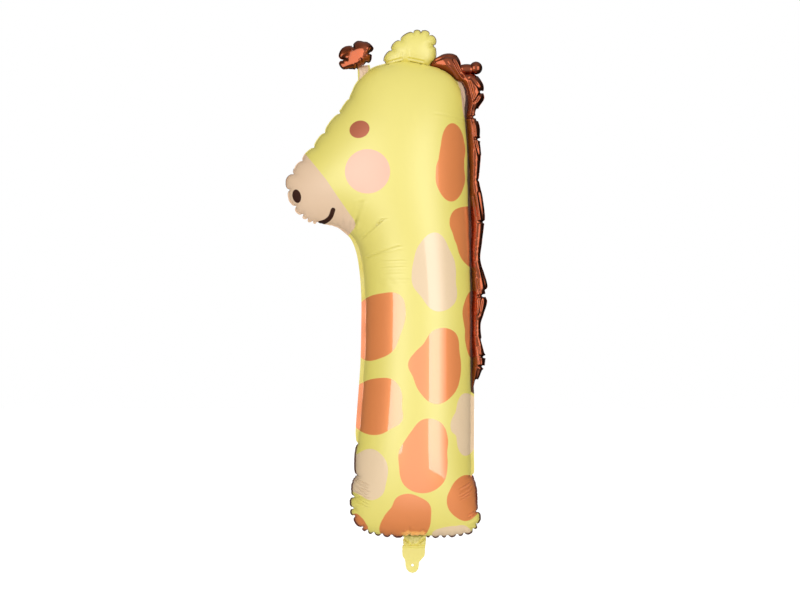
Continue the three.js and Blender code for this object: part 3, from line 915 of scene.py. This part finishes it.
def printed_foil(colours):
    """Foil with satin yellow ink, pearly cream, clear copper, the inks of the face, painted highlights in the
    muzzle's ink, and painted shade on the rims. Each print's stored distance becomes a mask whose edge is a
    fifth of a millimetre wide."""
    material, nodes, links, shader = new_material(PRINTED)
    noise = foil_bump(nodes, links, shader, fineness=30, strength=0.02)
    looks = {  # colour, how metallic, how rough, how much varnish, how rough the varnish
        # The muzzle's ink also makes the painted reflection beside the mane and the painted highlight on the
        # stalk.
        "muzzle": (colours.muzzle, 0.0, 0.45, 0.5, 0.5),
        "cream": (colours.cream, 0.05, 0.35, 0.5, 0.08),
        "copper": (colours.copper, 0.3, 0.35, 1.0, 0.05),
        "cheek": (colours.cheek, 0.1, 0.5, 0.4, 0.5),
        "eye": (colours.eye, 0.3, 0.4, 0.4, 0.4),
        "line": (colours.line, 0.0, 0.5, 0.0, 0.5),
        # Painted shade, multiplied over the ink at the rims.
        "rim": (colours.rim, 0.0, 0.3, 0.1, 0.3),
    }
    shade = nodes.new("ShaderNodeMix")
    shade.data_type = "RGBA"
    shade.blend_type = "MULTIPLY"
    shade.inputs["A"].default_value = (*colours.yellow, 1)
    shade.inputs["B"].default_value = (0.97, 0.965, 0.93, 1)
    links.new(noise.outputs["Fac"], shade.inputs["Factor"])
    colour = shade.outputs["Result"]
    # The yellow's numbers, each of which becomes the last node's output as the prints go over it.
    numbers = {"Metallic": 0.0, "Roughness": 0.42, "Coat Weight": 1.0, "Coat Roughness": 0.5}
    for kind in PRINTS:
        ink, *values = looks[kind]
        stored = nodes.new("ShaderNodeAttribute")
        stored.attribute_name = kind
        mask = nodes.new("ShaderNodeMapRange")
        mask.inputs["From Min"].default_value = MASK_EDGE[0]
        mask.inputs["From Max"].default_value = MASK_EDGE[1]
        links.new(stored.outputs["Fac"], mask.inputs["Value"])
        over = nodes.new("ShaderNodeMix")
        over.data_type = "RGBA"
        over.inputs["B"].default_value = (*ink, 1)
        # The rim's painted shade darkens the colour under it instead of covering it.
        if kind == "rim":
            over.blend_type = "MULTIPLY"
        links.new(mask.outputs["Result"], over.inputs["Factor"])
        links.new(colour, over.inputs["A"])
        colour = over.outputs["Result"]
        for (name, before), value in zip(numbers.items(), values):
            mix = nodes.new("ShaderNodeMix")
            mix.data_type = "FLOAT"
            mix.inputs["B"].default_value = value
            links.new(mask.outputs["Result"], mix.inputs["Factor"])
            if isinstance(before, float):
                mix.inputs["A"].default_value = before
            else:
                links.new(before, mix.inputs["A"])
            numbers[name] = mix.outputs["Result"]
    links.new(colour, shader.inputs["Base Color"])
    for name, number in numbers.items():
        links.new(number, shader.inputs[name])
    shader.inputs["Specular IOR Level"].default_value = 0.3
    shader.inputs["Coat IOR"].default_value = 1.95
    return material


def brown_foil(colours):
    """Mirror-bright brown foil, a little darker in patches."""
    material, nodes, links, shader = new_material(MIRROR)
    noise = foil_bump(nodes, links, shader, fineness=60, strength=0.03)
    tint = nodes.new("ShaderNodeMix")
    tint.data_type = "RGBA"
    tint.blend_type = "MULTIPLY"
    tint.inputs["A"].default_value = (*colours.brown_foil, 1)
    tint.inputs["B"].default_value = (0.8, 0.76, 0.74, 1)
    links.new(noise.outputs["Fac"], tint.inputs["Factor"])
    links.new(tint.outputs["Result"], shader.inputs["Base Color"])
    shader.inputs["Metallic"].default_value = 1.0
    shader.inputs["Roughness"].default_value = 0.16
    shader.inputs["Coat Weight"].default_value = 0.5
    shader.inputs["Coat IOR"].default_value = 1.6
    shader.inputs["Coat Roughness"].default_value = 0.04
    return material


# Operators


def beside(line, left, right):
    """A quantity along a weld line, by height, from tables for its left and right sides."""
    by_side = [np.interp(line[:, 1], *zip(*table)) for table in (left, right)]
    return np.where(line[:, 0] < MIDDLE_X, *by_side)


class BALLOON_OT_materials(bpy.types.Operator):
    """Make the printed foil and the brown mirror foil"""

    bl_idname = "balloon.materials"
    bl_label = "Materials"

    def execute(self, context):
        printed_foil(context.scene.balloon_colours)
        brown_foil(context.scene.balloon_colours)
        return {"FINISHED"}


class BALLOON_OT_body(bpy.types.Operator):
    """Make the neck and head: the big printed chamber with its weld flange"""

    bl_idname = "balloon.body"
    bl_label = "Body"

    def execute(self, context):
        sizes = context.scene.balloon_sizes
        rng = np.random.default_rng(SEEDS["body"])
        grid, share = ruled_grid(BODY_LEFT, BODY_RIGHT, sizes.body_rows, sizes.body_columns,
                                 density=BODY_DENSITY)
        grid = bend_end(grid, share, BODY_CROWN, True, CROWN_REACH)
        grid = bend_end(grid, share, BODY_BOTTOM, False, BOTTOM_REACH)
        weld = Weld(grid)
        x, z = weld.line.T
        at_neck = (z < NECK_TOP) & (np.abs(x - NECK_MIDDLE) < NECK_HALF_WIDTH)
        gather = beside(weld.line, LEFT_GATHER, RIGHT_GATHER)
        gather[at_neck] = NECK_GATHER
        # How much of the rim is darkened by painted shade, all of it at the neck.
        rim_shade_share = beside(weld.line, LEFT_RIM_SHADE, RIGHT_RIM_SHADE)
        rim_shade_share[at_neck] = 1
        flange = beside(weld.line, LEFT_FLANGE, RIGHT_FLANGE) * sizes.body_flange / (BODY_FLANGE * MM)
        swell = beside(weld.line, LEFT_SWELL, RIGHT_SWELL)
        nips = nips_along(weld, gather, BODY_NIPS, spacing_mm=600, rng=rng)
        fine = nips_along(weld, gather, (), spacing_mm=9, rng=rng)
        # The flange narrows at the nips as the square root of a sine.
        into = weld.gap(nips, weld.run[:-1])[0]
        narrowing = 0.6
        width = flange * (1 - gather * (1 - np.sin(np.pi * into).clip(0) ** 0.5) * narrowing)
        grid = scalloped(grid, weld, nips, gather, swell, reach_mm=12.0)
        weld = Weld(grid, weld.run)
        wrinkles = fan_creases(WRINKLE_FANS, depth=2.0, width=1.15)
        drawn_up = 0.6
        move = (
            nip_field(weld, nips, gather, **BODY_PUCKERS)
            + nip_field(weld, fine, gather, **BODY_FINE_PUCKERS)
            + crease_field(grid, BODY_CREASES)
            + crease_field(grid, wrinkles)
            + ripples(grid[..., 0], grid[..., 1] * drawn_up, rng, depth=0.12, waves=6, longest=200,
                      shortest=60)
        )
        x, z = weld.line.T
        against_mane = (x > MIDDLE_X) & (z > AGAINST_MANE[0]) & (z < AGAINST_MANE[1])
        # Where the rim's painted shade starts beyond the weld: by its share, all along the mane, and inside
        # the weld at the neck.
        start = SHADE_START_IF_NONE - (SHADE_START_IF_NONE - SHADE_START_IF_FULL) * rim_shade_share
        start[against_mane] = SHADE_START_IF_FULL
        start[at_neck] = np.interp(x[at_neck], *zip(*NECK_RIM_SHADE))
        chamber("printed_body", grid, membrane_height(grid, fullness=1.0), move, weld, width,
                sizes.foil_thick / MM, material_named(PRINTED), rng, prints=body_prints,
                rim_shade_start=start, wave_mm=0.3)
        return {"FINISHED"}


class BALLOON_OT_ear(bpy.types.Operator):
    """Make the ear lobe; its root's painted shade leaves out the air passage through its base crease"""

    bl_idname = "balloon.ear"
    bl_label = "Ear"

    def execute(self, context):
        sizes = context.scene.balloon_sizes
        rng = np.random.default_rng(SEEDS["ear"])
        grid, _ = ruled_grid(EAR_LEFT, EAR_RIGHT, rows=80, columns=80, crowd=10)
        weld = Weld(grid)
        x, z = weld.line.T
        gathered = z > EAR_GATHERED_FROM
        gather = np.where(gathered, 0.9, 0.2)
        swell = np.where(gathered, 3.6, 0.0)
        # On the gathered edge the rim's painted shade starts just beyond the weld; at the root it reaches up
        # onto the ear, except at the air passage.
        passage = np.abs(x - PASSAGE_MIDDLE) < PASSAGE_HALF_WIDTH
        dark = np.interp(x, *zip(*EAR_ROOT_SHADE))
        start = np.where(z < EAR_ROOT_TO, np.where(passage, SHADE_START_IF_NONE, -dark), EAR_RIM_SHADE_START)
        nips = nips_along(weld, gather, EAR_NIPS, spacing_mm=200, rng=rng)
        grid = scalloped(grid, weld, nips, gather, swell, reach_mm=12.0)
        weld = Weld(grid, weld.run)
        move = (
            nip_field(weld, nips, gather, **EAR_PUCKERS)
            + crease_field(grid, EAR_CREASES)
            + ripples(grid[..., 0], grid[..., 1], rng, depth=0.15, waves=5, longest=60, shortest=20)
        )
        chamber("ear_lobe", grid, membrane_height(grid, fullness=0.85), move, weld,
                np.full(len(gather), sizes.small_flange / MM), sizes.foil_thick / MM - EAR_THINNER,
                material_named(PRINTED), rng, rim_shade_start=start, wave_mm=0.2)
        return {"FINISHED"}


class BALLOON_OT_horn(bpy.types.Operator):
    """Make the horn: a printed stalk and a lobed knob of mirror foil"""

    bl_idname = "balloon.horn"
    bl_label = "Horn"

    def execute(self, context):
        sizes = context.scene.balloon_sizes
        rng = np.random.default_rng(SEEDS["horn"])
        stalk_flange = 1.5
        grid, _ = ruled_grid(STALK_LEFT, STALK_RIGHT, rows=40, columns=20, crowd=4)
        weld = Weld(grid)
        chamber("horn_stalk", grid, membrane_height(grid, fullness=0.45), crease_field(grid, STALK_CREASES),
                weld, np.full(len(weld.index), stalk_flange), sizes.foil_thick / MM - STALK_THINNER,
                material_named(PRINTED), rng, prints=stalk_highlight_print, wave_mm=0.1)
        # The knob's grid is a square of cells, rounded to a disc and reached out to the rim's table.
        cells = 84
        u, v = np.meshgrid(np.linspace(-1, 1, cells + 1), np.linspace(-1, 1, cells + 1))
        disc = np.stack([u * np.sqrt(1 - v * v / 2), v * np.sqrt(1 - u * u / 2)], -1)
        rim = np.array(KNOB_RIM, float)
        angle = np.degrees(np.arctan2(disc[..., 1], disc[..., 0]))
        reach = np.interp(angle, rim[:, 0], rim[:, 1], period=360) - KNOB_FLANGE
        grid = np.array(KNOB_CENTRE) + disc * reach[..., None]
        weld = Weld(grid)
        gather = np.full(len(weld.index), 0.8)
        swell = np.full(len(gather), 4.0)
        nips = nips_along(weld, gather, KNOB_NIPS, spacing_mm=300, rng=rng)
        grid = scalloped(grid, weld, nips, gather, swell, reach_mm=9.0)
        weld = Weld(grid, weld.run)
        move = (
            nip_field(weld, nips, gather, **KNOB_PUCKERS)
            + crease_field(grid, KNOB_CREASES)
            + ripples(grid[..., 0], grid[..., 1], rng, depth=0.15, waves=4, longest=50, shortest=24)
        )
        height = membrane_height(grid, fullness=0.9)
        top = height.max()
        height = top * (1 - (1 - height / top) ** KNOB_STEEPNESS)
        height = height * (1 + KNOB_LEAN * (grid[..., 0] - KNOB_CENTRE[0]) / KNOB_RADIUS)
        chamber("horn_knob", grid, height, move, weld, np.full(len(gather), sizes.mirror_flange / MM),
                sizes.foil_thick / MM, material_named(MIRROR), rng, wave_mm=0.2, soften=6)
        return {"FINISHED"}


class BALLOON_OT_mane(bpy.types.Operator):
    """Make the mane: a crumpled tube of mirror foil down the back, with the bead at its corner"""

    bl_idname = "balloon.mane"
    bl_label = "Mane"

    def execute(self, context):
        sizes = context.scene.balloon_sizes
        rng = np.random.default_rng(SEEDS["mane"])
        grid, _ = ruled_grid(MANE_INNER, MANE_OUTER, rows=700, columns=44, crowd=8)
        # The mane starts at its top, so its rows are turned round to face the front.
        grid = grid[:, ::-1]
        weld = Weld(grid)
        x, z = weld.line.T
        gather = np.full(len(weld.index), 0.55)
        swell = np.select([x > MANE_OUTSIDE_X, z > MANE_TOP_FROM], MANE_SWELLS[:2], MANE_SWELLS[2])
        nips = nips_along(weld, gather, MANE_NIPS, spacing_mm=2000, rng=rng)
        grid = scalloped(grid, weld, nips, gather, swell, reach_mm=4.0)
        weld = Weld(grid, weld.run)
        fold_depth, drawn_across = 1.5, 1.3
        wrinkles = fan_creases(MANE_FANS, depth=0.4, width=1.0)
        move = (
            nip_field(weld, nips, gather, **MANE_PUCKERS)
            + fold_depth * crease_field(grid, MANE_CREASES)
            + crease_field(grid, wrinkles)
            + ripples(grid[..., 0] * drawn_across, grid[..., 1], rng, depth=0.35, waves=5, longest=90,
                      shortest=30)
        )
        chamber("mane_tube", grid, membrane_height(grid, fullness=1.15), move, weld,
                np.full(len(gather), sizes.mirror_flange / MM), sizes.foil_thick / MM + MANE_THICKER,
                material_named(MIRROR), rng, wave_mm=0.2, soften=8)
        ball("mane_bead", BEAD_CENTRE, BEAD_RADII, material_named(MIRROR))
        ball("bead_stem", STEM_CENTRE, STEM_RADII, material_named(MIRROR))
        return {"FINISHED"}


class BALLOON_OT_tail(bpy.types.Operator):
    """Make the filling tail: the gathered neck, the flat tab and its ribbon hole"""

    bl_idname = "balloon.tail"
    bl_label = "Tail"

    def execute(self, context):
        sizes = context.scene.balloon_sizes
        rng = np.random.default_rng(SEEDS["tail"])
        thick = sizes.tail_thick / MM
        neck_flange = 0.6
        tail_tab(thick, sizes.hole_radius / MM, rng)
        grid, _ = ruled_grid(NECK_LEFT, NECK_RIGHT, rows=48, columns=60, crowd=6)
        weld = Weld(grid)
        move = crease_field(grid, NECK_CREASES)
        move = move + ripples(grid[..., 0], grid[..., 1], rng, depth=0.15, waves=5, longest=20, shortest=6)
        chamber("tail_neck", grid, membrane_height(grid, fullness=0.3), move, weld,
                np.full(len(weld.index), neck_flange), thick + NECK_THICKER, material_named(PRINTED), rng)
        return {"FINISHED"}


# The stage, in metres

FLOOR_REACH = 12.0
FLOOR_HEIGHT = -0.42

# Greys that the foil mirrors, from the camera's side to behind the balloon, and how bright and how
# high up the glow overhead is that is added to them.
MIRRORED_GREYS = (
    (0.0, 0.9), (0.05, 0.85), (0.14, 0.5), (0.25, 0.2), (0.5, 0.06), (0.72, 0.02), (1.0, 0.03),
)
OVERHEAD_FROM = 0.35
OVERHEAD_GLOW = 0.4
# Greys that light matt surfaces, by how closely a direction follows the main one.
SOFT_GREYS = ((0.0, 0.0), (0.35, 0.15), (0.5, 0.55), (1.0, 1.4))
SOFT_FROM = (0, -0.78, 0.62)

# Lamps beside the camera: name, turn from the camera's axis in degrees, half width in degrees, glow,
# and the height of the lower end.
LAMPS = (
    ("left lamp", -38.5, 16.5, 2.4, -0.12), ("right lamp", 37.5, 11.5, 2.4, -0.36),
    ("right lamp's edge", 51.5, 2.5, 1.7, -0.36), ("right lamp's outer edge", 56.5, 2.5, 1.1, -0.36),
    ("right lamp's far edge", 61.5, 2.5, 0.6, -0.36),
)
LAMP_DISTANCE = 2.1
LAMP_TOP = 1.75


def grey_ramp(ramp, stops):
    """Sets a colour ramp to greys at places from 0 to 1."""
    while len(ramp.color_ramp.elements) < len(stops):
        ramp.color_ramp.elements.new(0.5)
    for element, (at, grey) in zip(ramp.color_ramp.elements, stops):
        element.position = at
        element.color = (grey, grey, grey, 1)


def make_floor():
    """A pale floor that glows a little, and that mirrors don't see."""
    mesh = bpy.data.meshes.new("floor")
    signs = ((-1, -1), (1, -1), (1, 1), (-1, 1))
    corners = [(x * FLOOR_REACH, y * FLOOR_REACH, FLOOR_HEIGHT) for x, y in signs]
    mesh.from_pydata(corners, [], [(0, 1, 2, 3)])
    floor = bpy.data.objects.new("floor", mesh)
    bpy.context.scene.collection.objects.link(floor)
    material, _, _, shader = new_material("floor")
    shader.inputs["Base Color"].default_value = (0.92, 0.92, 0.92, 1)
    shader.inputs["Roughness"].default_value = 0.9
    shader.inputs["Emission Color"].default_value = (1, 1, 1, 1)
    shader.inputs["Emission Strength"].default_value = 0.35
    mesh.materials.append(material)
    floor.visible_glossy = False


def make_surroundings():
    """White surroundings to the camera, a soft light from the front above to matt surfaces, and a
    ramp of greys from front to back, with a glow overhead, to mirrors."""
    world = bpy.data.worlds.new("studio")
    bpy.context.scene.world = world
    world.use_nodes = True
    nodes, links = world.node_tree.nodes, world.node_tree.links
    nodes.clear()
    where = nodes.new("ShaderNodeTexCoord")

    above = nodes.new("ShaderNodeVectorMath")
    above.operation = "DOT_PRODUCT"
    above.inputs[1].default_value = SOFT_FROM
    level = nodes.new("ShaderNodeMapRange")
    level.inputs["From Min"].default_value = -1
    wide = nodes.new("ShaderNodeValToRGB")
    grey_ramp(wide, SOFT_GREYS)
    soft = nodes.new("ShaderNodeBackground")
    links.new(where.outputs["Generated"], above.inputs[0])
    links.new(above.outputs["Value"], level.inputs["Value"])
    links.new(level.outputs["Result"], wide.inputs["Fac"])
    links.new(wide.outputs["Color"], soft.inputs["Color"])

    split = nodes.new("ShaderNodeSeparateXYZ")
    spread = nodes.new("ShaderNodeMapRange")
    spread.inputs["From Min"].default_value = -1
    spread.inputs["From Max"].default_value = 1
    ramp = nodes.new("ShaderNodeValToRGB")
    grey_ramp(ramp, MIRRORED_GREYS)
    high = nodes.new("ShaderNodeMapRange")
    high.inputs["From Min"].default_value = OVERHEAD_FROM
    high.inputs["To Max"].default_value = OVERHEAD_GLOW
    both = nodes.new("ShaderNodeMath")
    mirrored = nodes.new("ShaderNodeBackground")
    mirrored.inputs["Color"].default_value = (1, 1, 1, 1)
    links.new(where.outputs["Generated"], split.inputs["Vector"])
    links.new(split.outputs["Y"], spread.inputs["Value"])
    links.new(spread.outputs["Result"], ramp.inputs["Fac"])
    links.new(split.outputs["Z"], high.inputs["Value"])
    links.new(high.outputs["Result"], both.inputs[0])
    links.new(ramp.outputs["Color"], both.inputs[1])
    links.new(both.outputs["Value"], mirrored.inputs["Strength"])

    shown = nodes.new("ShaderNodeBackground")
    shown.inputs["Color"].default_value = (1, 1, 1, 1)
    path = nodes.new("ShaderNodeLightPath")
    glossy, camera = nodes.new("ShaderNodeMixShader"), nodes.new("ShaderNodeMixShader")
    links.new(path.outputs["Is Glossy Ray"], glossy.inputs["Fac"])
    links.new(soft.outputs[0], glossy.inputs[1])
    links.new(mirrored.outputs[0], glossy.inputs[2])
    links.new(path.outputs["Is Camera Ray"], camera.inputs["Fac"])
    links.new(glossy.outputs[0], camera.inputs[1])
    links.new(shown.outputs[0], camera.inputs[2])
    out = nodes.new("ShaderNodeOutputWorld")
    links.new(camera.outputs[0], out.inputs["Surface"])


def make_lamps(middle):
    """Upright soft boxes on a circle round the balloon, that only mirrors see. Each is as wide as its
    angle and shines in proportion to its area."""
    for name, azimuth, half, glow, bottom in LAMPS:
        lamp = bpy.data.lights.new(name, "AREA")
        lamp.shape = "RECTANGLE"
        lamp.size = 2 * LAMP_DISTANCE * math.tan(math.radians(half))
        lamp.size_y = LAMP_TOP - bottom
        lamp.energy = glow * math.pi * lamp.size * lamp.size_y
        holder = bpy.data.objects.new(name, lamp)
        turn = math.radians(azimuth)
        away = Vector((math.sin(turn), -math.cos(turn), 0)) * LAMP_DISTANCE
        holder.location = Vector((middle.x, 0, (LAMP_TOP + bottom) / 2)) + away
        holder.rotation_euler = (math.pi / 2, 0, turn)
        holder.visible_camera = False
        holder.visible_diffuse = False
        bpy.context.scene.collection.objects.link(holder)


def make_camera(middle):
    """A level camera in front of the picture's middle."""
    camera = bpy.data.cameras.new("camera")
    camera.lens = LENS
    camera.sensor_width = SENSOR
    camera.clip_end = 100
    eye = bpy.data.objects.new("camera", camera)
    eye.location = middle - Vector((0, EYE_DISTANCE * MM, 0))
    eye.rotation_euler = (math.pi / 2, 0, 0)
    bpy.context.scene.collection.objects.link(eye)
    bpy.context.scene.camera = eye


class BALLOON_OT_stage(bpy.types.Operator):
    """Make the pale floor, the white surroundings, the soft lamps and the camera"""

    bl_idname = "balloon.stage"
    bl_label = "Stage"

    def execute(self, context):
        x, z = place(*PICTURE_MIDDLE)
        middle = Vector((x * MM, 0, z * MM))
        make_floor()
        make_surroundings()
        make_lamps(middle)
        make_camera(middle)
        context.scene.view_settings.view_transform = "Standard"
        return {"FINISHED"}


OPERATORS = (
    BALLOON_OT_materials, BALLOON_OT_body, BALLOON_OT_ear, BALLOON_OT_horn, BALLOON_OT_mane,
    BALLOON_OT_tail, BALLOON_OT_stage,
)


class BALLOON_PT_panel(bpy.types.Panel):
    """Lists the balloon's sizes, colours and pieces"""

    bl_label = "Figure balloon"
    bl_idname = "BALLOON_PT_panel"
    bl_space_type = "VIEW_3D"
    bl_region_type = "UI"
    bl_category = "Balloon"

    def draw(self, context):
        for group in (context.scene.balloon_sizes, context.scene.balloon_colours):
            for name in group.__annotations__:
                self.layout.prop(group, name)
        for operator in OPERATORS:
            self.layout.operator(operator.bl_idname)


CLASSES = (BalloonSizes, BalloonColours, *OPERATORS, BALLOON_PT_panel)


def register():
    """Registers the classes and hangs the sizes and colours on the scene."""
    for part in CLASSES:
        bpy.utils.register_class(part)
    bpy.types.Scene.balloon_sizes = bpy.props.PointerProperty(type=BalloonSizes)
    bpy.types.Scene.balloon_colours = bpy.props.PointerProperty(type=BalloonColours)


def unregister():
    """Takes back what registering did, the other way round."""
    del bpy.types.Scene.balloon_colours
    del bpy.types.Scene.balloon_sizes
    for part in reversed(CLASSES):
        bpy.utils.unregister_class(part)


def main():
    """Makes the balloon and its stage."""
    register()
    for operator in OPERATORS:
        group, name = operator.bl_idname.split(".")
        getattr(getattr(bpy.ops, group), name)()


if __name__ == "__main__":
    main()
